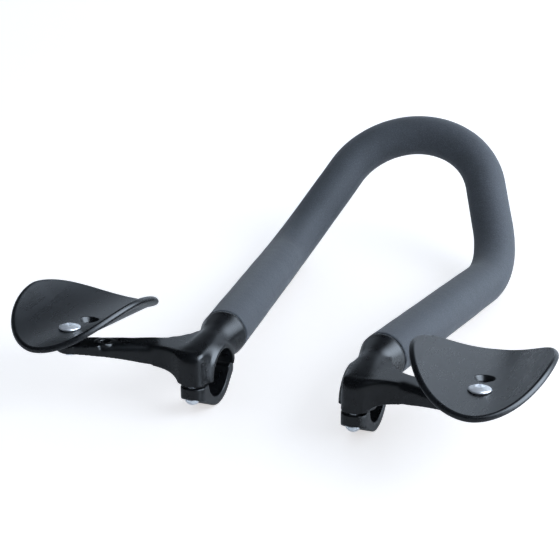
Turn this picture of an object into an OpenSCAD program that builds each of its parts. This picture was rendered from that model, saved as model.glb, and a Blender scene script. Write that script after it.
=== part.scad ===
// Clip-on aero handlebar extension: a foam-sleeved one-piece loop, two clamps, two armrests.
// Millimetres. The origin is on the handlebar axis, midway between the two clamps.
// +X runs along the handlebar to the rider's right, +Y is forward, +Z is up.
// Every piece is drawn square to the clamp bolts and then pitched nose-down by `pitch`,
// so that the assembly stands on its clamp rings and on the two front bends.

/* [Handlebar clamp] */
// Diameter of the handlebar that the two clamps close on
bar_d = 31.8; // [31.4:0.1:32.0]
// Centre distance of the two clamps along the handlebar
clamp_spacing = 107; // [104:1:112]
// Width of a clamp along the handlebar
clamp_w = 16.5; // [15.5:0.5:17.5]
// Wall of the clamp ring under the handlebar
ring_wall = 5.7; // [5.0:0.1:6.0]
// Distance of the rear face of the clamp block behind the handlebar axis
block_rear = 28; // [27.6:0.2:28.8]
// Gap left between the two clamp halves at the bolt
split_gap = 1.2; // [0.8:0.2:1.6]

/* [Clamp bolt] */
// Shank diameter of the clamp bolt
bolt_d = 5; // [4.6:0.2:5.2]
// Head diameter of the clamp bolt
bolt_head_d = 10.1; // [9.5:0.2:10.3]
// Height of the clamp bolt's round head
bolt_head_h = 3.9; // [3.5:0.2:4.1]

/* [Loop tube] */
// Outside diameter of the bent tube
tube_d = 22.2; // [22.0:0.1:22.4]
// Wall thickness of the bent tube
tube_wall = 2.0; // [1.6:0.2:2.4]
// Thickness of the foam sleeve on the tube
foam_t = 4.4; // [3.6:0.2:4.6]
// Length of each leg from the collar to its bend corner
leg_len = 203.4; // [190:2:215]
// Angle by which each leg splays outward
splay = 8.06; // [7:0.25:9]
// Angle by which each leg drops toward the front
dip = 0.9; // [0:0.1:1.5]
// Radius of the bend between leg and riser
bend_r = 78.6; // [70:2:84]
// Length from the leg bend corner to the top corner
riser_len = 119.3; // [112:1:124]
// Steepness of the plane of the risers
riser_rise = 44.5; // [40:1:50]
// Angle by which the risers lean toward each other
riser_in = 20.0; // [18.5:0.25:21]

/* [Arms] */
// Height of the flat top of the arm above the handlebar axis
arm_top = 21; // [20.4:0.2:21.4]
// Angle by which the arm sweeps back
arm_sweep = 22; // [21:0.5:23]
// Width of the arm near the clamp
arm_w = 13; // [12:0.5:14.5]
// Distance along the arm between the two armrest positions
seat_step = 22; // [20:1:24]

/* [Armrests] */
// Centre distance of the two armrests
rest_spacing = 262.3; // [256:2:270]
// Thickness of the armrest shell
rest_t = 2.8; // [2.4:0.2:3.0]
// Inner radius of the trough at its bottom
trough_r = 44.5; // [42:1:48]
// Inner radius of the flatter wings
wing_r = 73; // [66:2:84]
// Length of the armrest behind its centre
rest_rear = 56; // [52:1:60]
// Length of the armrest in front of its centre
rest_front = 61.5; // [56:1:66]
// Toe-in of the armrest
rest_toe = 6.2; // [4:0.5:8]
// Forward tilt of the armrest
rest_tilt = 3; // [2:0.5:4]
// Centre distance of the two armrest holes
hole_step = 21; // [19:1:22]

/* [Armrest screw] */
// Shank diameter of the armrest screw
screw_d = 8; // [7.4:0.2:8]
// Head diameter of the armrest screw
screw_head_d = 13.9; // [13.0:0.3:13.9]

/* [Hidden] */
$fn = 96;
over = 0.01;
// hairline step where two surfaces would otherwise nearly coincide
step = 0.03;
lap = 0.5;
bar_r = bar_d / 2;
cx = clamp_spacing / 2;
x_in = cx - clamp_w / 2;
x_out = cx + clamp_w / 2;
barrel_in = x_in - 3.4;
barrel_out = x_out + 0.7;
ring_r = bar_r + ring_wall;
barrel_r = ring_r - 2;
bar_relief = 1.5;
far_y = 23.2;
boss_z = -9.8;
block_low = -1;
block_top = arm_top + step;
block_round = 6.5;
// clamp bolt axis, thread depth and the hook bead at the far end of the cap
bolt_y = -block_rear + 5.1;
bolt_deep = 13;
hook_y = 19.6;
hook_z = -0.9;
hook_r = 2.2;
// widths of the hexagon sockets
bolt_key = 3;
screw_key = 5;
// collar, spigot and tube line
tube_r = tube_d / 2;
tube_in = tube_r - tube_wall;
foam_r = tube_r + foam_t;
foam_in = tube_r + 0.05;
spigot_r = tube_in - 0.05;
spigot_len = 26;
S0 = [cx + 1.38, 30.07, 14.23];
leg_dir = [sin(splay) * cos(dip), cos(splay) * cos(dip), -sin(dip)];
riser_dir = [-sin(riser_in), cos(riser_in) * cos(riser_rise), cos(riser_in) * sin(riser_rise)];
C1 = S0 + leg_len * leg_dir;
C2 = C1 + riser_len * riser_dir;
bend_a = acos(leg_dir * riser_dir);
top_a = 2 * acos(-riser_dir[0]);
top_r = C2[0] / tan(top_a / 4);
bend_t = bend_r * tan(bend_a / 2);
P1 = C1 - bend_t * leg_dir;
P2 = C1 + bend_t * riser_dir;
P3 = C2 - C2[0] * riser_dir;
collar_len = 2;
neck_end = S0 - collar_len * leg_dir;
// the neck's waist between collar and block: where it is, half width, lowest and highest point
waist_y = 12;
waist_w = 10.6;
waist_low = 0;
waist_high = 26.4;
// pitch at which the clamp rings and the two front bends touch one level surface
bend_n = unit(cross(leg_dir, riser_dir));
bend_c = P1 - bend_r * cross(leg_dir, bend_n);
function bend_gap(p) = ring_r - foam_r + bend_c[2] * cos(p) - bend_c[1] * sin(p)
    - bend_r * sqrt(1 - pow(bend_n[2] * cos(p) - bend_n[1] * sin(p), 2));
function level_pitch(low, high, tries = 30) = let (mid = (low + high) / 2) tries == 0 ? mid :
    bend_gap(mid) > 0 ? level_pitch(mid, high, tries - 1) : level_pitch(low, mid, tries - 1);
pitch = level_pitch(0, 15);
// armrest frame and the points that hang on it
rest_c = [rest_spacing / 2, -19.66, 29.0];
rear_hole = -15.1;
front_hole = rear_hole + hole_step;
pad_z = -7.6;
pad_r = 9;
spare_z = -5.8;
spare_r = 6.9;
sink_d = 12.4;
sink_h = 2.5;
sink_top = 0.6;
seat_x = rest_c[0] - rear_hole * sin(rest_toe);
seat_y = rest_c[1] + rear_hole * cos(rest_toe);
// arm section and its sloping underside, along the arm from the seat toward the clamp
arm_crease = 15.5;
arm_draft = 1.8;
shoulder_r = 4.5;
seat_r = 9.2;
arm_bottom = 15.8;
boss_r = 6.2;
tap_r = 3.4;
gusset_low = 9;
gusset_c = [97.6, 24.6];
gusset_r = 34;
// trough section: a round bottom over +-trough_a, then a flatter wing on each side over wing_a
trough_a = 32.2;
wing_a = 19;
join_x = trough_r * sin(trough_a);
join_z = trough_r - trough_r * cos(trough_a);
wing_x = join_x - wing_r * sin(trough_a);
wing_z = join_z + wing_r * cos(trough_a);
// plan of the armrest: half spans measured along the shell, and the power of its pointed oval
span_out = 46.5;
span_in = 48.5;
oval_n = 1.72;

function unit(v) = v / norm(v);
function superpos(t, a, b, n) = [
    a * sign(cos(t)) * pow(abs(cos(t)), 2 / n),
    b * sign(sin(t)) * pow(abs(sin(t)), 2 / n)
];

module stand() {
    rotate([-pitch, 0, 0]) children();
}

module left_side() {
    mirror([1, 0, 0]) children();
}

// turns +Z onto the direction d and moves to p
module along(p, d) {
    translate(p) rotate([0, acos(d[2] / norm(d)), atan2(d[1], d[0])]) children();
}

// a pipe wall between two points, square ended
module straight(p, d, len, ro, ri) {
    along(p, d) linear_extrude(height = len) difference() {
        circle(r = ro);
        circle(r = ri);
    }
}

// a bent pipe wall that leaves point p along d and turns toward e by angle a
module bend(p, d, e, a, r, ro, ri) {
    n = unit(cross(d, e));
    x = cross(d, n);
    c = p - r * x;
    multmatrix([
        [x[0], d[0], n[0], c[0]],
        [x[1], d[1], n[1], c[1]],
        [x[2], d[2], n[2], c[2]],
        [0, 0, 0, 1]
    ]) rotate_extrude(angle = a) translate([r, 0]) difference() {
        circle(r = ro);
        circle(r = ri);
    }
}

module half_line(ro, ri) {
    straight(S0, leg_dir, norm(P1 - S0) + lap, ro, ri);
    bend(P1, leg_dir, riser_dir, bend_a, bend_r, ro - step, ri + step);
    straight(P2 - lap * riser_dir, riser_dir, norm(P3 - P2) + 2 * lap, ro, ri);
}

module loop_line(ro, ri) {
    half_line(ro, ri);
    left_side() half_line(ro, ri);
    bend(P3, riser_dir, [-1, 0, 0], top_a, top_r, ro - step, ri + step);
}

module extension_tube() {
    color([0.16, 0.16, 0.17]) stand() loop_line(tube_r, tube_in);
}

module foam_sleeve() {
    color([0.2, 0.21, 0.23]) stand() loop_line(foam_r, foam_in);
}

// upright extrusion along the handlebar of a profile drawn in the Y-Z plane
module across(x0, x1) {
    translate([x0, 0, 0]) rotate([90, 0, 90]) linear_extrude(height = x1 - x0) children();
}

// bore of the clamp, and the wider relief that keeps the arm clear of the handlebar
module bar_hole() {
    across(x_in - 20, barrel_out + 1) circle(r = bar_r);
    across(barrel_out, barrel_out + 60) circle(r = bar_r + bar_relief);
}

// plan outline of the bolt block with its two well rounded rear corners
module block_plan(front) {
    union() {
        translate([x_in, -block_rear + block_round]) square([clamp_w, block_rear - block_round + front]);
        translate([x_in + block_round, -block_rear]) square([clamp_w - 2 * block_round, block_rear]);
        translate([x_in + block_round, -block_rear + block_round]) circle(r = block_round);
        translate([x_out - block_round, -block_rear + block_round]) circle(r = block_round);
    }
}

// side view of the block, its upper rear edge rounded
module block_side() {
    translate([-block_rear - 1, -5]) square([60, block_top - block_round + 5]);
    translate([-block_rear + block_round, -5]) square([60, block_top + 5]);
    translate([-block_rear + block_round, block_top - block_round]) circle(r = block_round);
}

module clamp_block() {
    intersection() {
        union() {
            linear_extrude(height = block_top) block_plan(4);
            translate([0, 0, block_low]) linear_extrude(height = 2) block_plan(-bar_r + 1);
        }
        across(x_in - 1, x_out + 1) block_side();
    }
}

// oval section at the neck's waist
module neck_waist() {
    translate([(cx + neck_end[0]) / 2, waist_y, (waist_low + waist_high) / 2]) rotate([90, 0, 0])
        scale([waist_w, (waist_high - waist_low) / 2, 1]) cylinder(r = 1, h = 3, center = true, $fn = 32);
}

// round bar across the block, for the neck to run into
module neck_root(y, z, r) {
    root_w = clamp_w - 1.2;
    translate([cx - root_w / 2, y, z]) rotate([0, 90, 0]) cylinder(r = r, h = root_w, $fn = 32);
}

// waisted neck that joins the collar to the block over the handlebar
module neck() {
    hull() {
        along(neck_end, leg_dir) cylinder(r = foam_r - 0.05, h = collar_len / 2, $fn = 48);
        neck_waist();
    }
    hull() {
        neck_waist();
        neck_root(-block_rear + 11.5, block_top - 4.5, 5.5);
        neck_root(-2, 12, 5);
    }
}

// short collar that meets the foam, and the spigot that carries the tube, one turned solid
module collar() {
    along(neck_end, leg_dir) rotate_extrude() union() {
        square([foam_r, collar_len]);
        square([spigot_r, collar_len + spigot_len]);
    }
}

// places its children in the arm frame: origin under the seat, +X inboard along the arm
module arm_frame() {
    translate([seat_x, seat_y, 0]) rotate([0, 0, 180 - arm_sweep]) children();
}

module arm_plan() {
    circle(r = seat_r);
    polygon([[0, seat_r - 0.4], [0, -seat_r + 0.4], [26, -arm_w / 2 - 1.5], [86, -arm_w / 2 - 1.1],
        [84.3, 20.4], [79.6, 23.6], [73.7, 22.4], [69.8, 19.9], [67.3, 16.8], [64.2, 13.6], [59.5, 10.4],
        [54, 8.4], [46, 7.3], [26, arm_w / 2 + 0.7]]);
}

// side view of the arm: flat top, underside falling from the seat to the clamp
module arm_side() {
    polygon([[-seat_r - 1, arm_bottom + 0.4], [0, arm_bottom], [12, 14.4], [22, 12.9], [34, 10.8],
        [47, 8.0], [56, 6.4], [62.6, 5.0], [66, 3.6], [68, 1.6], [69, -1], [90, -1], [90, arm_top],
        [-seat_r - 1, arm_top]]);
}

// end view of the arm: rounded rear shoulder and upright band over a slimmer drafted lower web
module arm_end(front, rear) {
    polygon([[-front, arm_top + 1], [-front, arm_crease], [-front + arm_draft, 0], [rear - arm_draft, 0],
        [rear, arm_crease], [rear, arm_top - shoulder_r], [rear - shoulder_r, arm_top - shoulder_r],
        [rear - shoulder_r, arm_top + 1]]);
    translate([rear - shoulder_r, arm_top - shoulder_r]) circle(r = shoulder_r);
}

module arm() {
    intersection() {
        arm_frame() linear_extrude(height = arm_top) arm_plan();
        arm_frame() rotate([90, 0, 0]) translate([0, 0, -30]) linear_extrude(height = 60) arm_side();
        union() {
            arm_frame() translate([-20, -20, arm_bottom - 3]) cube([39, 40, 20]);
            arm_frame() rotate([90, 0, 90]) translate([0, 0, 18]) linear_extrude(height = 35)
                arm_end(arm_w / 2 + 1.6, arm_w / 2 + 0.9);
            arm_frame() translate([52, -20, 0]) cube([41, 50, 30]);
        }
        union() {
            across(x_in - 5, 78) block_side();
            translate([77, -80, -1]) cube([80, 120, 30]);
        }
    }
}

// flat gusset with a concave front edge between arm and collar
module gusset() {
    translate([0, 0, gusset_low]) linear_extrude(height = arm_top - gusset_low - step) difference() {
        polygon([[cx, -8], [82, -12], [78.5, -4.5], [72, 8], [66, 19], [cx, 19]]);
        translate(gusset_c) circle(r = gusset_r);
    }
}

// raised pads that carry the armrest, square to its screw
module seat_boss(dx) {
    rest_frame() translate([0, rear_hole, 0]) rotate([0, 0, 180 - arm_sweep - rest_toe])
        translate([dx, 0, pad_z - 5]) cylinder(r = boss_r, h = 5);
}

module seat_bore(dx, r) {
    rest_frame() translate([0, rear_hole, 0]) rotate([0, 0, 180 - arm_sweep - rest_toe])
        translate([dx, 0, pad_z - 20]) cylinder(r = r, h = 22);
}

module right_bracket_body() {
    difference() {
        union() {
            difference() {
                union() {
                    collar();
                    neck();
                    across(barrel_in, barrel_out) circle(r = barrel_r);
                }
                translate([0, -40, -60]) cube([90, 62, 60]);
            }
            clamp_block();
            arm();
            gusset();
            seat_boss(0);
            seat_boss(seat_step);
        }
        bar_hole();
        translate([cx, bolt_y, -3]) cylinder(r = bolt_d / 2 + 0.03, h = bolt_deep + 3);
        across(x_in - 4, x_out + 4) translate([hook_y, hook_z]) circle(r = hook_r + 0.15);
        seat_bore(0, screw_d / 2 + 0.05);
        seat_bore(seat_step, tap_r);
    }
}

module right_bracket() {
    color([0.1, 0.1, 0.11]) stand() right_bracket_body();
}

module left_bracket() {
    color([0.1, 0.1, 0.11]) stand() left_side() right_bracket_body();
}

// lower clamp half: ring wall, bolt boss in front of it, upright far end with its hook bead
module cap_profile() {
    intersection() {
        union() {
            circle(r = ring_r);
            polygon([[0, 1], [far_y, 1], [far_y, -7.5], [ring_r * sin(42), -ring_r * cos(42)], [0, -10]]);
            polygon([[0, 2], [-block_rear - 3, 2], [-block_rear - 3, boss_z], [-block_rear + 1, boss_z],
                [-ring_r * sin(38), -ring_r * cos(38)], [0, -10]]);
        }
        translate([-40, -40]) square([80, 40 + block_low - split_gap]);
    }
}

module right_cap_body() {
    difference() {
        union() {
            intersection() {
                across(x_in, x_out) cap_profile();
                translate([0, 0, -40]) linear_extrude(height = 45) block_plan(60);
            }
            across(x_in, x_out) translate([hook_y, hook_z]) circle(r = hook_r);
        }
        bar_hole();
        translate([cx, bolt_y, -20]) cylinder(r = bolt_d / 2 + 0.2, h = 30);
        translate([cx, bolt_y, boss_z - 20]) cylinder(r = bolt_head_d / 2 + 0.4, h = 20);
    }
}

module right_clamp_cap() {
    color([0.12, 0.12, 0.13]) stand() right_cap_body();
}

module left_clamp_cap() {
    color([0.12, 0.12, 0.13]) stand() left_side() right_cap_body();
}

// round head with a hexagon recess below, shank upward into the bracket
module right_bolt_body() {
    head_r = bolt_head_d / 2;
    flat_r = 2.6;
    ball_z = (head_r * head_r - flat_r * flat_r - bolt_head_h * bolt_head_h) / (2 * bolt_head_h);
    translate([cx, bolt_y, boss_z]) difference() {
        union() {
            intersection() {
                translate([0, 0, -bolt_head_h]) cylinder(r = head_r + 1, h = bolt_head_h);
                translate([0, 0, ball_z]) sphere(r = norm([head_r, ball_z]));
            }
            translate([0, 0, -over]) cylinder(r = bolt_d / 2, h = bolt_deep - boss_z - 1);
        }
        translate([0, 0, -bolt_head_h - 1]) cylinder(r = bolt_key / 2 / cos(30), h = 2.8, $fn = 6);
    }
}

module right_clamp_bolt() {
    color([0.75, 0.76, 0.78]) stand() right_bolt_body();
}

module left_clamp_bolt() {
    color([0.75, 0.76, 0.78]) stand() left_side() right_bolt_body();
}

// origin on the inner trough bottom of the right armrest, +Y along the forearm
module rest_frame() {
    translate(rest_c) rotate([0, 0, rest_toe]) rotate([-rest_tilt, 0, 0]) children();
}

module wedge(a0, a1, len) {
    polygon([[0, 0], [len * sin(a0), -len * cos(a0)], [len * sin(a1), -len * cos(a1)]]);
}

module wing_section() {
    translate([wing_x, wing_z]) intersection() {
        difference() {
            circle(r = wing_r + rest_t + step);
            circle(r = wing_r - step);
        }
        wedge(trough_a - 0.6, trough_a + wing_a, 2 * wing_r);
    }
}

module trough_section() {
    translate([0, trough_r]) intersection() {
        difference() {
            circle(r = trough_r + rest_t);
            circle(r = trough_r);
        }
        wedge(-trough_a, trough_a, 2 * trough_r);
    }
}

module trough() {
    len = rest_rear + rest_front + 8;
    translate([0, rest_front + 4, 0]) rotate([90, 0, 0]) linear_extrude(height = len) union() {
        trough_section();
        wing_section();
        mirror([1, 0, 0]) wing_section();
    }
}

// sideways distance of the point that lies s along the shell from the trough's bottom
function flat_x(s) = let (turn = s / trough_r * 180 / PI) turn <= trough_a ? trough_r * sin(turn) :
    wing_x + wing_r * sin(trough_a + (turn - trough_a) * trough_r / wing_r);

// point of the pointed oval at angle t
function oval_pt(t) = let (p = superpos(t, cos(t) > 0 ? span_out : span_in,
    sin(t) > 0 ? rest_front : rest_rear, oval_n)) [sign(p[0]) * flat_x(abs(p[0])), p[1]];

module rest_plan() {
    polygon([for (i = [0 : 119]) oval_pt(i * 3 + 1.5)]);
}

// round pad under a hole, trimmed to the trough: the rear one sits on the arm, the front one stiffens
module rest_pad(y, z, r) {
    difference() {
        translate([0, y, z]) cylinder(r = r, h = -z);
        translate([0, 0, trough_r]) rotate([90, 0, 0]) cylinder(r = trough_r + 1, h = 200, center = true);
    }
}

module right_rest_body() {
    rest_frame() difference() {
        union() {
            intersection() {
                trough();
                translate([0, 0, -20]) linear_extrude(height = 80) rest_plan();
            }
            rest_pad(rear_hole, pad_z, pad_r);
            rest_pad(front_hole, spare_z, spare_r);
        }
        for (y = [rear_hole, front_hole]) {
            translate([0, y, -20]) cylinder(r = screw_d / 2 + 0.2, h = 30);
            translate([0, y, sink_top - sink_h - 0.05])
                cylinder(r1 = screw_d / 2 + 0.2, r2 = sink_d / 2 + 0.2, h = sink_h);
        }
    }
}

module right_armrest() {
    color([0.1, 0.1, 0.12]) stand() right_rest_body();
}

module left_armrest() {
    color([0.1, 0.1, 0.12]) stand() left_side() right_rest_body();
}

// raised countersunk screw with a domed, socketed head
module right_screw_body() {
    rim_h = 0.9;
    dome_h = 1.9;
    dome_z = sink_top + rim_h;
    dome_r = (screw_head_d * screw_head_d / 4 + dome_h * dome_h) / (2 * dome_h);
    shank_below = 9;
    rest_frame() translate([0, rear_hole, 0]) difference() {
        union() {
            translate([0, 0, sink_top - sink_h]) cylinder(r1 = screw_d / 2, r2 = sink_d / 2, h = sink_h);
            translate([0, 0, sink_top - over]) cylinder(r = screw_head_d / 2, h = rim_h);
            intersection() {
                translate([0, 0, dome_z - 2 * over]) cylinder(r = screw_head_d / 2, h = 4);
                translate([0, 0, dome_z + dome_h - dome_r]) sphere(r = dome_r);
            }
            translate([0, 0, pad_z - shank_below]) cylinder(r = screw_d / 2, h = shank_below - pad_z);
        }
        translate([0, 0, 0.6]) cylinder(r = screw_key / 2 / cos(30), h = 6, $fn = 6);
    }
}

module right_armrest_screw() {
    color([0.8, 0.81, 0.83]) stand() right_screw_body();
}

module left_armrest_screw() {
    color([0.8, 0.81, 0.83]) stand() left_side() right_screw_body();
}

extension_tube();
foam_sleeve();
right_bracket();
left_bracket();
right_clamp_cap();
left_clamp_cap();
right_clamp_bolt();
left_clamp_bolt();
right_armrest();
left_armrest();
right_armrest_screw();
left_armrest_screw();
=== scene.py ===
import math

import bmesh
import bpy
from mathutils import Euler, Matrix, Vector, noise


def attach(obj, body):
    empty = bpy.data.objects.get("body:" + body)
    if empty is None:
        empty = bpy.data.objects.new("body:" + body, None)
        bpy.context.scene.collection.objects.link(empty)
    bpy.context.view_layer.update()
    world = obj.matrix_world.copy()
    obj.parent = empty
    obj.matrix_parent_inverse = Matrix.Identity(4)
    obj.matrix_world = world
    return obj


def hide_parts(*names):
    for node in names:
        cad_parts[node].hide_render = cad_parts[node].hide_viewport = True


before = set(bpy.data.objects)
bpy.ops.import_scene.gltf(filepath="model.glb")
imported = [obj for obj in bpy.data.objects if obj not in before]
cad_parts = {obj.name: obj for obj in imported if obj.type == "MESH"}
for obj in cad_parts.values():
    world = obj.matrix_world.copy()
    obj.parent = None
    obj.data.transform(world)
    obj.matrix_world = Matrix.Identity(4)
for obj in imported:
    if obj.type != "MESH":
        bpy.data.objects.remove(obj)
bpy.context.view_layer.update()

# The object is drawn square to its clamp bolts, in millimetres, and then pitched nose-down to stand.
PITCH = math.radians(5.11421)
STAND = Matrix.Rotation(-PITCH, 4, "X") @ Matrix.Scale(0.001, 4)
FLOOR_Z = -0.0216

# Loop line
CLAMP_X = 53.5
LEG_START = Vector((CLAMP_X + 1.38, 30.07, 14.23))
LEG_LEN, SPLAY, DIP = 203.4, math.radians(8.06), math.radians(0.9)
RISER_LEN, RISER_RISE, RISER_IN = 119.3, math.radians(44.5), math.radians(20)
BEND_R = 78.6
TUBE_R, FOAM_R = 11.1, 15.5

# Clamp
BAR_R, BARREL_IN = 15.9, 41.85
BOLT_Y, BOSS_Z = -22.9, -9.8
GUSSET_AT, GUSSET_R = Vector((97.6, 24.6)), 34.0

# Armrest shell: its place, its section along the shell and its pointed oval plan
REST_AT = Vector((131.153, -19.659, 29.0))
REST_TOE, REST_TILT = 0.108, -0.053
TROUGH_R, WING_FLARE, FLARE_S = 41.446, -1.123, 60.0
SPAN_OUT, SPAN_IN, REST_FRONT, REST_REAR = 46.29, 48.54, 62.23, 55.47
OVAL_POWER, REST_SKEW = 1.70, 0.038
REST_T, RIM_GAP = 2.8, 0.96
REAR_HOLE, FRONT_HOLE = -15.1, 5.9
SINK_R, THROUGH_R, HOLE_EASE = 6.4, 4.2, 5
PAD_Z, SPARE_Z = -7.6, -5.8


# Camera, fitted to the photograph

def aim_camera():
    """The photograph's view: a long lens, low and a little to the rider's right."""
    azimuth, elevation = math.radians(21.41), math.radians(19.38)
    place = Vector((295.62, -753.83, 353.3))
    focal_px, centre_x, centre_y, frame_px, sensor = 1397.7, 284.79, 279.8, 560, 36
    back = Vector((math.sin(azimuth) * math.cos(elevation), -math.cos(azimuth) * math.cos(elevation),
                   math.sin(elevation)))
    right = Vector((math.cos(azimuth), math.sin(azimuth), 0))
    up = back.cross(right)
    turn = Matrix((right, up, back)).transposed().to_4x4()
    data = bpy.data.cameras.new("camera")
    data.sensor_width = sensor
    data.lens = focal_px / frame_px * sensor
    data.shift_x = (frame_px / 2 - centre_x) / frame_px
    data.shift_y = (centre_y - frame_px / 2) / frame_px
    camera = bpy.data.objects.new("camera", data)
    bpy.context.scene.collection.objects.link(camera)
    camera.matrix_world = Matrix.Translation(STAND @ place) @ Matrix.Rotation(-PITCH, 4, "X") @ turn
    bpy.context.scene.camera = camera


# Shader maths

class Wire:
    """A socket, or a number, that Python's operators join with Math nodes."""

    def __init__(self, tree, value):
        self.tree, self.value = tree, value

    def math(self, operation, *others, clamp=False):
        node = self.tree.nodes.new("ShaderNodeMath")
        node.operation, node.use_clamp = operation, clamp
        for socket, item in zip(node.inputs, (self, *others)):
            plug(self.tree, socket, item)
        return Wire(self.tree, node.outputs[0])

    def __add__(self, other):
        return self.math("ADD", other)

    def __sub__(self, other):
        return self.math("SUBTRACT", other)

    def __rsub__(self, other):
        return Wire(self.tree, other).math("SUBTRACT", self)

    def __mul__(self, other):
        return self.math("MULTIPLY", other)

    __radd__, __rmul__ = __add__, __mul__

    def clamped(self):
        return self.math("ADD", 0, clamp=True)


def plug(tree, socket, item):
    value = item.value if isinstance(item, Wire) else item
    if isinstance(value, bpy.types.NodeSocket):
        tree.links.new(value, socket)
    else:
        socket.default_value = value


class Finish:
    """A material with one Principled shader, and the nodes that feed it."""

    def __init__(self, name):
        self.material = bpy.data.materials.new(name)
        self.material.use_nodes = True
        self.tree = self.material.node_tree
        self.shader = self.tree.nodes["Principled BSDF"]

    def node(self, kind, settings=None, output=0, **sockets):
        made = self.tree.nodes.new("ShaderNode" + kind)
        for name, value in (settings or {}).items():
            setattr(made, name, value)
        for name, value in sockets.items():
            plug(self.tree, made.inputs[name.replace("_", " ")], value)
        return Wire(self.tree, made.outputs[output])

    def coords(self, stretch=(1, 1, 1)):
        place = self.node("TexCoord", output="Object")
        return self.node("Mapping", Vector=place, Scale=stretch)

    def noise(self, size, where, detail=2.0, roughness=0.5):
        """Noise whose features are about size metres."""
        return self.node("TexNoise", output="Fac", Vector=where, Scale=1 / size, Detail=detail,
                         Roughness=roughness)

    def ramp(self, factor, *stops):
        node = self.tree.nodes.new("ShaderNodeValToRGB")
        ramp = node.color_ramp
        while len(ramp.elements) < len(stops):
            ramp.elements.new(1.0)
        for element, (place, colour) in zip(ramp.elements, stops):
            element.position = place
            element.color = (*colour, 1)
        plug(self.tree, node.inputs["Fac"], factor)
        return Wire(self.tree, node.outputs["Color"])

    def bump(self, height, strength, distance, under=None):
        sockets = {"Strength": strength, "Distance": distance, "Height": height}
        if under is not None:
            sockets["Normal"] = under
        return self.node("Bump", **sockets)

    def feed(self, **sockets):
        for name, value in sockets.items():
            plug(self.tree, self.shader.inputs[name.replace("_", " ")], value)
        return self.material


def grey_blue(level):
    """A neutral a little toward blue, as the object's blacks are."""
    return (level * 0.90, level, level * 1.17)


def foam_finish():
    """Closed-cell foam: matte, finely speckled, with soft handling marks."""
    f = Finish("foam")
    where = f.coords()
    grain = f.noise(0.0007, where, detail=3)
    mottle = f.noise(0.011, where, detail=3, roughness=0.6)
    cells = f.node("TexVoronoi", {"feature": "F1"}, output="Distance", Vector=where, Scale=1 / 0.0011)
    tone = f.ramp(grain * 0.75 + mottle * 0.25, (0.30, grey_blue(0.030)), (0.52, grey_blue(0.048)),
                  (0.72, grey_blue(0.085)))
    height = cells * 0.6 + grain * 0.7
    normal = f.bump(height, 0.35, 0.0003, f.bump(mottle, 0.25, 0.0012))
    return f.feed(Base_Color=tone, Roughness=0.62 + mottle * 0.2, Normal=normal, Specular_IOR_Level=0.45,
                  Sheen_Weight=0.12, Sheen_Roughness=0.5)


def casting_finish():
    """Smooth satin black over cast and machined alloy."""
    f = Finish("black_casting")
    where = f.coords()
    haze = f.noise(0.009, where, detail=4, roughness=0.6)
    grain = f.noise(0.0006, where, detail=2)
    tone = f.ramp(haze, (0.3, grey_blue(0.003)), (0.7, grey_blue(0.006)))
    normal = f.bump(grain, 0.02, 0.0002, f.bump(haze, 0.03, 0.0008))
    return f.feed(Base_Color=tone, Roughness=0.24 + haze * 0.08, Normal=normal, IOR=1.45)


def plastic_finish():
    """Satin black moulding with faint fore-and-aft rub marks and a soft unevenness."""
    f = Finish("black_plastic")
    where = f.coords()
    rubs = f.noise(0.0036, f.coords((1, 0.06, 1)), detail=2, roughness=0.5)
    haze = f.noise(0.016, where, detail=3, roughness=0.55)
    tone = f.ramp(haze, (0.3, grey_blue(0.005)), (0.7, grey_blue(0.009)))
    normal = f.bump(rubs, 0.015, 0.0003, f.bump(haze, 0.05, 0.001))
    return f.feed(Base_Color=tone, Roughness=0.20 + haze * 0.08 + rubs * 0.08, Normal=normal, IOR=1.45)


def steel_finish():
    """Bright screw steel, turned and lightly handled."""
    f = Finish("bright_steel")
    where = f.coords()
    turned = f.noise(0.0004, f.coords((1, 1, 4)), detail=3)
    haze = f.noise(0.003, where, detail=2)
    tone = f.ramp(haze, (0.3, (0.80, 0.82, 0.85)), (0.7, (0.90, 0.91, 0.93)))
    normal = f.bump(turned, 0.08, 0.0001)
    return f.feed(Base_Color=tone, Metallic=0.5, Roughness=0.30 + haze * 0.12, Normal=normal)


def tube_finish():
    """Dark anodised tube, which the foam covers."""
    f = Finish("tube_finish")
    haze = f.noise(0.006, f.coords(), detail=3)
    tone = f.ramp(haze, (0.3, (0.03, 0.03, 0.033)), (0.7, (0.05, 0.05, 0.055)))
    return f.feed(Base_Color=tone, Metallic=0.6, Roughness=0.35 + haze * 0.1)


# Pieces

def link_mesh(name, bm, *materials):
    mesh = bpy.data.meshes.new(name)
    bm.to_mesh(mesh)
    bm.free()
    for material in materials:
        mesh.materials.append(material)
    obj = bpy.data.objects.new(name, mesh)
    bpy.context.scene.collection.objects.link(obj)
    return obj


def seat(obj, slot_name, *nodes, crease=None):
    """Smooth-shades a finished piece and hangs it on the frame in place of its CAD nodes."""
    obj.data.shade_smooth()
    if crease is not None:
        obj.data.set_sharp_from_angle(angle=math.radians(crease))
    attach(obj, "root")
    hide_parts(*nodes)
    return obj


def bake_modifiers(obj):
    """Puts what the modifiers make into the piece's own mesh."""
    graph = bpy.context.evaluated_depsgraph_get()
    mesh = bpy.data.meshes.new_from_object(obj.evaluated_get(graph))
    old, obj.data = obj.data, mesh
    obj.modifiers.clear()
    bpy.data.meshes.remove(old)


def mirrored(side):
    """Left-hand pieces are the right-hand ones mirrored across the middle plane."""
    return Matrix.Scale(side, 4, (1, 0, 0))


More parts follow.
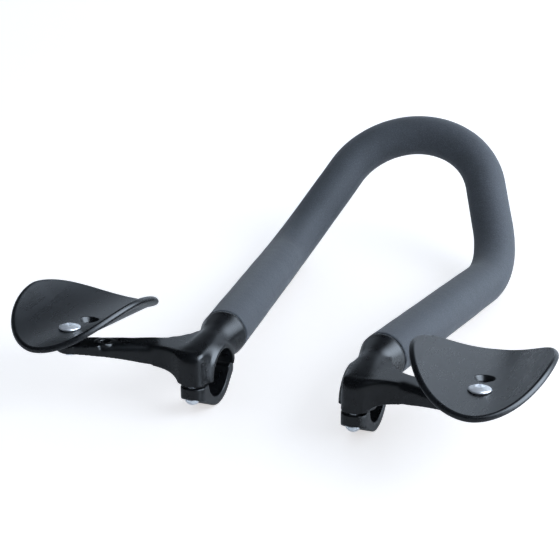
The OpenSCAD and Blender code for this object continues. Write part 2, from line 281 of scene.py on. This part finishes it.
def loop_stations():
    """Points and directions along the middle of the tube, from the right collar round to the left."""
    leg = Vector((math.sin(SPLAY) * math.cos(DIP), math.cos(SPLAY) * math.cos(DIP), -math.sin(DIP)))
    riser = Vector((-math.sin(RISER_IN), math.cos(RISER_IN) * math.cos(RISER_RISE),
                    math.cos(RISER_IN) * math.sin(RISER_RISE)))
    corner = LEG_START + LEG_LEN * leg
    top_corner = corner + RISER_LEN * riser
    cut = BEND_R * math.tan(leg.angle(riser) / 2)
    top_angle = 2 * math.acos(-riser.x)
    top_r = top_corner.x / math.tan(top_angle / 4)

    def line(start, direction, length, step):
        count = max(1, round(length / step))
        return [(start + direction * (length * i / count), direction.copy()) for i in range(count)]

    def arc(start, direction, toward, angle, radius, count):
        axis = direction.cross(toward).normalized()
        centre = start + radius * axis.cross(direction)
        turns = [Matrix.Rotation(angle * i / count, 3, axis) for i in range(count)]
        return [(centre + turn @ (start - centre), turn @ direction) for turn in turns]

    p1 = corner - cut * leg
    p2 = corner + cut * riser
    p3 = top_corner - top_corner.x * riser
    half = line(LEG_START, leg, (p1 - LEG_START).length, 3.0)
    half += arc(p1, leg, riser, leg.angle(riser), BEND_R, 28)
    half += line(p2, riser, (p3 - p2).length, 3.0)
    half += arc(p3, riser, Vector((-1, 0, 0)), top_angle / 2, top_r, 28)
    flip = Matrix.Scale(-1, 3, (1, 0, 0))
    axis = riser.cross(Vector((-1, 0, 0))).normalized()
    half_turn = Matrix.Rotation(top_angle / 2, 3, axis)
    centre = p3 + top_r * axis.cross(riser)
    apex = centre + half_turn @ (p3 - centre)
    other = [(flip @ p, -(flip @ d)) for p, d in reversed(half)]
    last = [(flip @ LEG_START, -(flip @ leg))]
    return half + [(apex, half_turn @ riser)] + other[:-1] + last


def foam_grip(material):
    """One-piece foam sleeve, swept round the loop, with eased ends and a slightly uneven skin."""
    stations = loop_stations()
    first, last = stations[0], stations[-1]
    ease = [(1.4, TUBE_R + 0.1), (1.4, FOAM_R - 1.3), (1.7, FOAM_R - 0.4), (2.4, FOAM_R)]
    rings = [(first[0] + first[1] * along, first[1], r) for along, r in ease]
    rings += [(p, d, FOAM_R) for p, d in stations[1:-1]]
    rings += [(last[0] - last[1] * along, last[1], r) for along, r in reversed(ease)]
    bm = bmesh.new()
    made = bmesh.ops.create_circle(bm, segments=72, radius=1)
    verts = made["verts"]
    edges = list({e for v in verts for e in v.link_edges})
    placed = Matrix.Identity(4)
    quat = Vector((0, 0, 1)).rotation_difference(rings[0][1])
    heading = rings[0][1]
    for index, (point, direction, radius) in enumerate(rings):
        quat = heading.rotation_difference(direction) @ quat
        heading = direction
        target = Matrix.Translation(point) @ quat.to_matrix().to_4x4() @ Matrix.Scale(radius, 4)
        if index:
            made = bmesh.ops.extrude_edge_only(bm, edges=edges)["geom"]
            verts = [g for g in made if isinstance(g, bmesh.types.BMVert)]
            edges = [g for g in made if isinstance(g, bmesh.types.BMEdge)]
        bmesh.ops.transform(bm, matrix=target @ placed.inverted(), verts=verts)
        placed = target
    bmesh.ops.recalc_face_normals(bm, faces=bm.faces)
    bm.normal_update()
    for v in bm.verts:
        wave = noise.noise(v.co / 19) * 0.16 + noise.noise(v.co / 7) * 0.05
        v.co += v.normal * (wave - 0.08)
    bmesh.ops.transform(bm, matrix=STAND, verts=bm.verts)
    return link_mesh("foam_grip", bm, material)


def soft_copy(node, name, voxel, passes, material):
    """A CAD node as a casting: one skin, its edges eased by as much as passes say for each point."""
    bm = bmesh.new()
    bm.from_mesh(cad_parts[node].data)
    bmesh.ops.remove_doubles(bm, verts=bm.verts, dist=1e-6)
    obj = link_mesh(name, bm, material)
    remesh = obj.modifiers.new("skin", "REMESH")
    remesh.mode = "VOXEL"
    remesh.voxel_size = voxel
    bake_modifiers(obj)
    back = STAND.inverted()
    places = [back @ v.co for v in obj.data.vertices]
    for index, (count, weigh) in enumerate(passes):
        group = obj.vertex_groups.new(name=f"ease_{index}")
        for i, p in enumerate(places):
            weight = weigh(Vector((abs(p.x), p.y, p.z)))
            if weight > 0.01:
                group.add([i], min(1.0, weight), "REPLACE")
        smooth = obj.modifiers.new(f"ease_{index}", "SMOOTH")
        smooth.factor, smooth.iterations, smooth.vertex_group = 0.5, count, group.name
    bake_modifiers(obj)
    obj.vertex_groups.clear()
    return obj


def ramp_up(value, low, high):
    t = min(1.0, max(0.0, (value - low) / (high - low)))
    return t * t * (3 - 2 * t)


def off_bore(p, near, far):
    """Nothing at the bore that holds the handlebar, everything beyond it."""
    return ramp_up(math.hypot(p.y, p.z), BAR_R + near, BAR_R + far)


def off_collar(p):
    """Nothing at the collar's seam with the foam."""
    return 1 - ramp_up((p - LEG_START).dot(Vector((0.14, 0.99, 0))), -4.0, -1.5)


def edge_ease(p):
    """Every edge a little, the bore's least."""
    return (0.25 + 0.75 * off_bore(p, 0.6, 5)) * (0.3 + 0.7 * off_collar(p))


def barrel_ease(p):
    """The rolled edge at the inner end of the clamp barrel."""
    return off_bore(p, 0.4, 1.8) * (1 - ramp_up(p.x, BARREL_IN + 2.6, BARREL_IN + 4.2))


def corner_ease(p):
    """The block's corners, the arm's rear edge and the flare between them."""
    inner = 1 - ramp_up(p.x, CLAMP_X + 42, CLAMP_X + 60)
    rear = 1 - ramp_up(p.y, -15, -11) * ramp_up(p.x, CLAMP_X, CLAMP_X + 10)
    return off_bore(p, 2, 6) * inner * rear * off_collar(p) * ramp_up(p.z, 2.5, 6)


def inner_ease(p):
    """The block's inner corner, from its ball at the top down to the split."""
    inner_rear = (1 - ramp_up(p.x, 49, 53)) * (1 - ramp_up(p.y, -4, 2))
    return off_bore(p, 1.6, 4) * inner_rear * ramp_up(p.z, 0.5, 2.5)


def shoulder_ease(p):
    """The broad round of the upper rear edge, from the block's inner corner along the flare."""
    inner = 1 - ramp_up(p.x, CLAMP_X + 28, CLAMP_X + 44)
    return off_bore(p, 3, 7) * inner * ramp_up(p.z, 8, 13) * (1 - ramp_up(p.y, -15, -10))


def saddle_ease(p):
    """The neck, the gusset and the top of the arm, run into one another."""
    inner = 1 - ramp_up(p.x, CLAMP_X + 22, CLAMP_X + 40)
    front = ramp_up((p.xy - GUSSET_AT).length - GUSSET_R, 0.5, 6)
    rear = ramp_up(p.y, -21, -15)
    return off_bore(p, 2.5, 6) * inner * front * rear * off_collar(p) * ramp_up(p.z, 11, 17)


def brackets(material):
    made = []
    voxel = 0.0006
    steps = 1
    passes = [(7 // steps, edge_ease), (44 // steps, barrel_ease), (20 // steps, corner_ease),
              (60 // steps, shoulder_ease), (150 // steps, inner_ease), (170 // steps, saddle_ease)]
    for side in ("right", "left"):
        made.append(soft_copy(side + "_bracket", side + "_arm_casting", voxel, passes, material))
    return made


def cap_rear_ease(p):
    """The lower rear corners of the cap."""
    return (1 - ramp_up(p.y, -21, -16)) * (1 - ramp_up(p.z, -5.5, -3.5))


def caps(material):
    made = []
    voxel = 0.00045
    for side in ("right", "left"):
        made.append(soft_copy(side + "_clamp_cap", side + "_cap_casting", voxel,
                              [(6, lambda p: 1.0), (30, cap_rear_ease)], material))
    return made


def rest_section():
    """Sideways and upward place, and slope, at each half millimetre along the shell from its middle."""
    step = 0.5
    x = z = 0.0
    table = [(0.0, 0.0, 0.0)]
    for i in range(1, 130):
        s = (i - 0.5) * step
        slope = s / TROUGH_R * (1 + WING_FLARE * s * s / (3 * FLARE_S * FLARE_S))
        x += math.cos(slope) * step
        z += math.sin(slope) * step
        table.append((x, z, slope))
    return step, table


REST_STEP, REST_TABLE = rest_section()


def shell_point(s, y, depth):
    """The point of the shell at s along its section and y along the forearm, depth below its top face."""
    place = abs(s) / REST_STEP
    i = min(int(place), len(REST_TABLE) - 2)
    t = place - i
    x, z, slope = (a + (b - a) * t for a, b in zip(REST_TABLE[i], REST_TABLE[i + 1]))
    sign = math.copysign(1, s)
    return Vector((sign * (x + math.sin(slope) * depth), y, z - math.cos(slope) * depth))


def rest_place(side):
    """From the armrest's own millimetres to the row frame."""
    turn = Euler((REST_TILT, 0, REST_TOE), "XYZ").to_matrix().to_4x4()
    return mirrored(side) @ STAND @ Matrix.Translation(REST_AT) @ turn


def oval(x, y):
    """A point of the unit disc moved onto the armrest's plan, as distances along the shell."""
    reach = math.hypot(x, y)
    if reach < 1e-9:
        return 0.0, -4.0
    c, s = x / reach, y / reach
    span = SPAN_OUT if c > 0 else SPAN_IN
    length = REST_FRONT if s > 0 else REST_REAR
    a = math.copysign(abs(c) ** (2 / OVAL_POWER), c) * span * reach
    b = math.copysign(abs(s) ** (2 / OVAL_POWER), s) * length * reach
    b += -4.0 * (1 - reach)
    return a, b + REST_SKEW * a


def shell_depth(s, y):
    """Thickness of the shell, which swells toward its rim."""
    span = SPAN_OUT if s > 0 else SPAN_IN
    length = REST_FRONT if y > 0 else REST_REAR
    reach = (abs(s) / span) ** OVAL_POWER + (abs(y - REST_SKEW * s) / length) ** OVAL_POWER
    return REST_T + 1.2 * ramp_up(reach, 0.70, 0.95)


def open_hole(bm, y, radius):
    """Takes the faces out of a round hole in the flat sheet and draws its edge to a true circle."""
    centre = Vector((0, y, 0))
    gone = [f for f in bm.faces if (f.calc_center_median() - centre).length < radius]
    bmesh.ops.delete(bm, geom=gone, context="FACES")
    edge = [e for e in bm.edges if e.is_boundary and (e.verts[0].co - centre).length < radius * 1.4]
    for v in {v for e in edge for v in e.verts}:
        v.co = centre + (v.co - centre).normalized() * radius
    return edge


def by_a_hole(point):
    """Whether a point of the flat sheet lies on the edge of one of the two countersinks."""
    return any(abs((point - Vector((0, y, 0))).length - SINK_R) < 0.01 for y in (REAR_HOLE, FRONT_HOLE))


def armrest(side, name, material):
    """A thin moulded trough with a full round rim and two countersunk holes."""
    rings, round_about = 44, 216
    bm = bmesh.new()
    made = bmesh.ops.create_circle(bm, segments=round_about, radius=1)
    edges = list({e for v in made["verts"] for e in v.link_edges})
    for ring in range(rings - 1, 0, -1):
        made = bmesh.ops.extrude_edge_only(bm, edges=edges)["geom"]
        verts = [g for g in made if isinstance(g, bmesh.types.BMVert)]
        edges = [g for g in made if isinstance(g, bmesh.types.BMEdge)]
        shrink = RIM_GAP if ring == rings - 1 else ring / (ring + 1)
        bmesh.ops.scale(bm, vec=(shrink, shrink, 1), verts=verts)
    bmesh.ops.contextual_create(bm, geom=edges)
    for v in bm.verts:
        v.co.x, v.co.y = oval(v.co.x, v.co.y)
    for y in (REAR_HOLE, FRONT_HOLE):
        open_hole(bm, y, SINK_R)
    made = bmesh.ops.extrude_face_region(bm, geom=list(bm.faces), use_keep_orig=True)["geom"]
    under = {g for g in made if isinstance(g, bmesh.types.BMVert)}
    hole_walls = []
    rim = []
    for e in bm.edges:
        if sum(v in under for v in e.verts) == 1:
            (hole_walls if by_a_hole(e.verts[0].co) else rim).append(e)
    rim_verts = {v for e in rim for v in e.verts}
    lip_verts = {v for e in hole_walls for v in e.verts if v not in under}
    for v in bm.verts:
        s, y, _ = v.co
        depth = 0.0
        if v in under:
            depth = shell_depth(s, y)
            for hole in (REAR_HOLE, FRONT_HOLE):
                away = math.hypot(s, y - hole)
                if away < SINK_R + HOLE_EASE:
                    narrowing = (SINK_R - THROUGH_R) * (1 - ramp_up(away, SINK_R, SINK_R + HOLE_EASE))
                    pull = 1 - narrowing / away
                    s, y = s * pull, hole + (y - hole) * pull
        v.co = shell_point(s, y, depth)
    rim_edges = [e for e in bm.edges if all(v in rim_verts for v in e.verts) and e not in rim]
    lip_edges = [e for e in bm.edges if all(v in lip_verts for v in e.verts)]
    bmesh.ops.recalc_face_normals(bm, faces=bm.faces)
    bmesh.ops.bevel(bm, geom=rim_edges, offset=1.6, segments=7, profile=0.5, affect="EDGES", material=-1)
    bmesh.ops.bevel(bm, geom=lip_edges, offset=0.35, segments=3, profile=0.5, affect="EDGES", material=-1)
    pad = turned(bm, [(THROUGH_R, PAD_Z), (8.0, PAD_Z), (8.6, PAD_Z + 0.6), (9.4, -3.4), (10.8, -1.9),
                      (10.8, -1.2), (6.2, -1.2), (THROUGH_R, -2.75)], 72, closed=True)
    bmesh.ops.translate(bm, vec=(0, REAR_HOLE, 0), verts=pad)
    pad = turned(bm, [(THROUGH_R, SPARE_Z), (6.0, SPARE_Z), (6.6, SPARE_Z + 0.6), (6.9, -3.8), (8.2, -1.9),
                      (5.2, -1.9), (THROUGH_R, -2.75)], 72, closed=True)
    bmesh.ops.translate(bm, vec=(0, FRONT_HOLE, 0), verts=pad)
    bmesh.ops.transform(bm, matrix=rest_place(side), verts=bm.verts)
    bmesh.ops.recalc_face_normals(bm, faces=bm.faces)
    return link_mesh(name, bm, material)


def turned(bm, outline, steps, closed=False):
    """Spins an outline of radius and height pairs about Z, and returns its vertices."""
    verts = [bm.verts.new((r, 0, z)) for r, z in outline]
    pairs = list(zip(verts, verts[1:]))
    if closed:
        pairs.append((verts[-1], verts[0]))
    edges = [bm.edges.new(pair) for pair in pairs]
    before = set(bm.verts) - set(verts)
    bmesh.ops.spin(bm, geom=verts + edges, axis=(0, 0, 1), cent=(0, 0, 0), steps=steps,
                   angle=2 * math.pi, use_merge=True)
    made = [v for v in bm.verts if v not in before]
    bmesh.ops.remove_doubles(bm, verts=made, dist=1e-5)
    return [v for v in bm.verts if v not in before]


def arc_points(cx, cz, r, a0, a1, count):
    """Points of an arc in the radius and height plane, angles in degrees from the radius axis."""
    angles = [math.radians(a0 + (a1 - a0) * i / count) for i in range(count + 1)]
    return [(cx + r * math.cos(a), cz + r * math.sin(a)) for a in angles]


def hex_cut(obj, across, z0, z1):
    """Cuts a hexagon socket between two heights and eases the sharp edges."""
    bm = bmesh.new()
    bmesh.ops.create_cone(bm, cap_ends=True, segments=6, radius1=across / math.sqrt(3),
                          radius2=across / math.sqrt(3), depth=abs(z1 - z0))
    bmesh.ops.translate(bm, vec=(0, 0, (z0 + z1) / 2), verts=bm.verts)
    cutter = link_mesh("cutter", bm)
    cut = obj.modifiers.new("socket", "BOOLEAN")
    cut.operation, cut.solver, cut.object = "DIFFERENCE", "EXACT", cutter
    bevel = obj.modifiers.new("edge", "BEVEL")
    bevel.width, bevel.segments, bevel.limit_method = 0.14, 2, "ANGLE"
    bevel.angle_limit = math.radians(40)
    bake_modifiers(obj)
    bpy.data.objects.remove(cutter)


def place_mesh(obj, matrix):
    """Puts a piece's place into its mesh, and turns a mirrored one right side out."""
    bm = bmesh.new()
    bm.from_mesh(obj.data)
    bmesh.ops.transform(bm, matrix=matrix, verts=bm.verts)
    if matrix.determinant() < 0:
        bmesh.ops.reverse_faces(bm, faces=bm.faces)
    bm.to_mesh(obj.data)
    bm.free()


def armrest_screw(side, name, material):
    """Countersunk screw with a wide raised dome and a hexagon socket."""
    head_r, dome_h, rim_z = 6.95, 1.9, 1.5
    dome_r = (head_r ** 2 + dome_h ** 2) / (2 * dome_h)
    top = rim_z + dome_h
    reach = math.degrees(math.asin((head_r - 0.4) / dome_r))
    dome = arc_points(0, top - dome_r, dome_r, 90, 90 - reach, 14)
    outline = dome + [(head_r - 0.08, rim_z - 0.15), (head_r, rim_z - 0.35), (head_r - 0.1, 0.7),
                      (head_r - 0.4, 0.6), (6.2, 0.57), (4.0, -1.9), (4.0, PAD_Z - 8.5), (3.5, PAD_Z - 9),
                      (0, PAD_Z - 9)]
    bm = bmesh.new()
    turned(bm, outline, 64)
    bmesh.ops.recalc_face_normals(bm, faces=bm.faces)
    obj = link_mesh(name, bm, material)
    hex_cut(obj, 5.0, 0.6, 6.0)
    place_mesh(obj, rest_place(side) @ Matrix.Translation((0, REAR_HOLE, 0)))
    return obj


def clamp_bolt(side, name, material):
    """Round-headed bolt, head down, its shank running up into the block."""
    head_r, head_h, flat_r, shank_r, shank_top = 5.05, 3.9, 2.6, 2.5, 21.8
    ball_z = (head_r ** 2 - flat_r ** 2 - head_h ** 2) / (2 * head_h)
    ball_r = math.hypot(head_r, ball_z)
    low = math.degrees(math.asin((-head_h - ball_z) / ball_r))
    high = math.degrees(math.asin(-ball_z / ball_r))
    outline = [(0, -head_h), (flat_r - 0.3, -head_h)] + arc_points(0, ball_z, ball_r, low + 3, high - 3, 14)
    outline += [(head_r - 0.15, 0), (shank_r, 0), (shank_r, shank_top - 0.6), (shank_r - 0.5, shank_top),
                (0, shank_top)]
    bm = bmesh.new()
    turned(bm, outline, 56)
    bmesh.ops.recalc_face_normals(bm, faces=bm.faces)
    obj = link_mesh(name, bm, material)
    hex_cut(obj, 3.0, -head_h - 1, -head_h + 1.8)
    place_mesh(obj, mirrored(side) @ STAND @ Matrix.Translation((CLAMP_X, BOLT_Y, BOSS_Z)))
    return obj


# Stage

def stage_floor():
    """A pale sweep under the object that keeps its shadow and goes to white around it."""
    bm = bmesh.new()
    bmesh.ops.create_grid(bm, x_segments=1, y_segments=1, size=6)
    bmesh.ops.translate(bm, vec=(0, 0, FLOOR_Z), verts=bm.verts)
    f = Finish("floor")
    seen = f.node("LightPath", output="Is Camera Ray")
    f.feed(Base_Color=(0.80, 0.80, 0.80, 1), Roughness=0.35, Specular_IOR_Level=0.5,
           Emission_Color=f.ramp(seen, (0.0, (0, 0, 0)), (1.0, (0.58, 0.56, 0.55))), Emission_Strength=1.0)
    floor = link_mesh("floor", bm, f.material)


def studio_world():
    """White to the eye; to the object, a pale backdrop ahead, a softbox to the right and a dim room above."""
    world = bpy.data.worlds.new("studio")
    world.use_nodes = True
    bpy.context.scene.world = world
    tree = world.node_tree
    tree.nodes.clear()

    def node(kind, **sockets):
        made = tree.nodes.new("ShaderNode" + kind)
        for name, value in sockets.items():
            plug(tree, made.inputs[name], value)
        return made

    heading = node("TexCoord").outputs["Generated"]
    apart = node("SeparateXYZ", Vector=heading)
    x, y, z = (Wire(tree, apart.outputs[axis]) for axis in "XYZ")
    ahead = (x * 0.9 + y * 1.5 - 0.25).clamped()
    low = (z * -4.5 + 2.6).clamped()
    box = ((x * 0.816 + y * 0.071 + z * 0.574) * 3.4 - 2.15).clamped()
    glossy = ahead * low * 0.95 + box * box * 10.0 + 0.04
    path = node("LightPath")
    seen = Wire(tree, path.outputs["Is Camera Ray"])
    shiny = Wire(tree, path.outputs["Is Glossy Ray"])
    wall = (1 - z).clamped()
    soft = ahead * 0.25 + wall * wall * 1.45 + 0.22
    level = (1 - seen) * (shiny * glossy + (1 - shiny) * soft) + seen
    tint = node("Mix", Factor=seen)
    tint.data_type = "RGBA"
    tint.inputs["A"].default_value = (0.83, 0.96, 1.12, 1)
    tint.inputs["B"].default_value = (1, 1, 1, 1)
    shade = node("Background", Strength=level)
    tree.links.new(tint.outputs["Result"], shade.inputs["Color"])
    tree.links.new(shade.outputs[0], node("OutputWorld").inputs["Surface"])


def area_lamp(name, place, target, size, power, colour=(1, 1, 1)):
    """A square softbox; the world carries what the glossy surfaces see of it."""
    data = bpy.data.lights.new(name, "AREA")
    data.shape, data.size, data.energy, data.color = "SQUARE", size, power, colour
    lamp = bpy.data.objects.new(name, data)
    bpy.context.scene.collection.objects.link(lamp)
    lamp.location = place
    lamp.rotation_euler = (Vector(target) - Vector(place)).to_track_quat("-Z", "Y").to_euler()
    lamp.visible_glossy = False


def light_stage():
    studio_world()
    area_lamp("side_softbox", (1.45, 0.0, 0.8), (0, 0.05, 0), 1.3, 17, (0.94, 0.98, 1.05))


# Assembly

SIDES = (("right", 1), ("left", -1))


def build():
    foam, casting, plastic, steel = foam_finish(), casting_finish(), plastic_finish(), steel_finish()
    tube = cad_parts["extension_tube"].data
    tube.materials.clear()
    tube.materials.append(tube_finish())
    grip = seat(foam_grip(foam), "foam", "foam_sleeve")
    for (side, _), arm, cap in zip(SIDES, brackets(casting), caps(casting)):
        seat(arm, "black_casting", side + "_bracket")
        seat(cap, "black_casting", side + "_clamp_cap")
    for side, sign in SIDES:
        shell = armrest(sign, side + "_armrest_shell", plastic)
        screw = armrest_screw(sign, side + "_dome_screw", steel)
        bolt = clamp_bolt(sign, side + "_socket_bolt", steel)
        seat(shell, "black_plastic", side + "_armrest", crease=50)
        seat(screw, "bright_steel", side + "_armrest_screw", crease=35)
        seat(bolt, "bright_steel", side + "_clamp_bolt", crease=35)


aim_camera()
build()
stage_floor()
light_stage()
bpy.context.scene.view_settings.view_transform = "Standard"
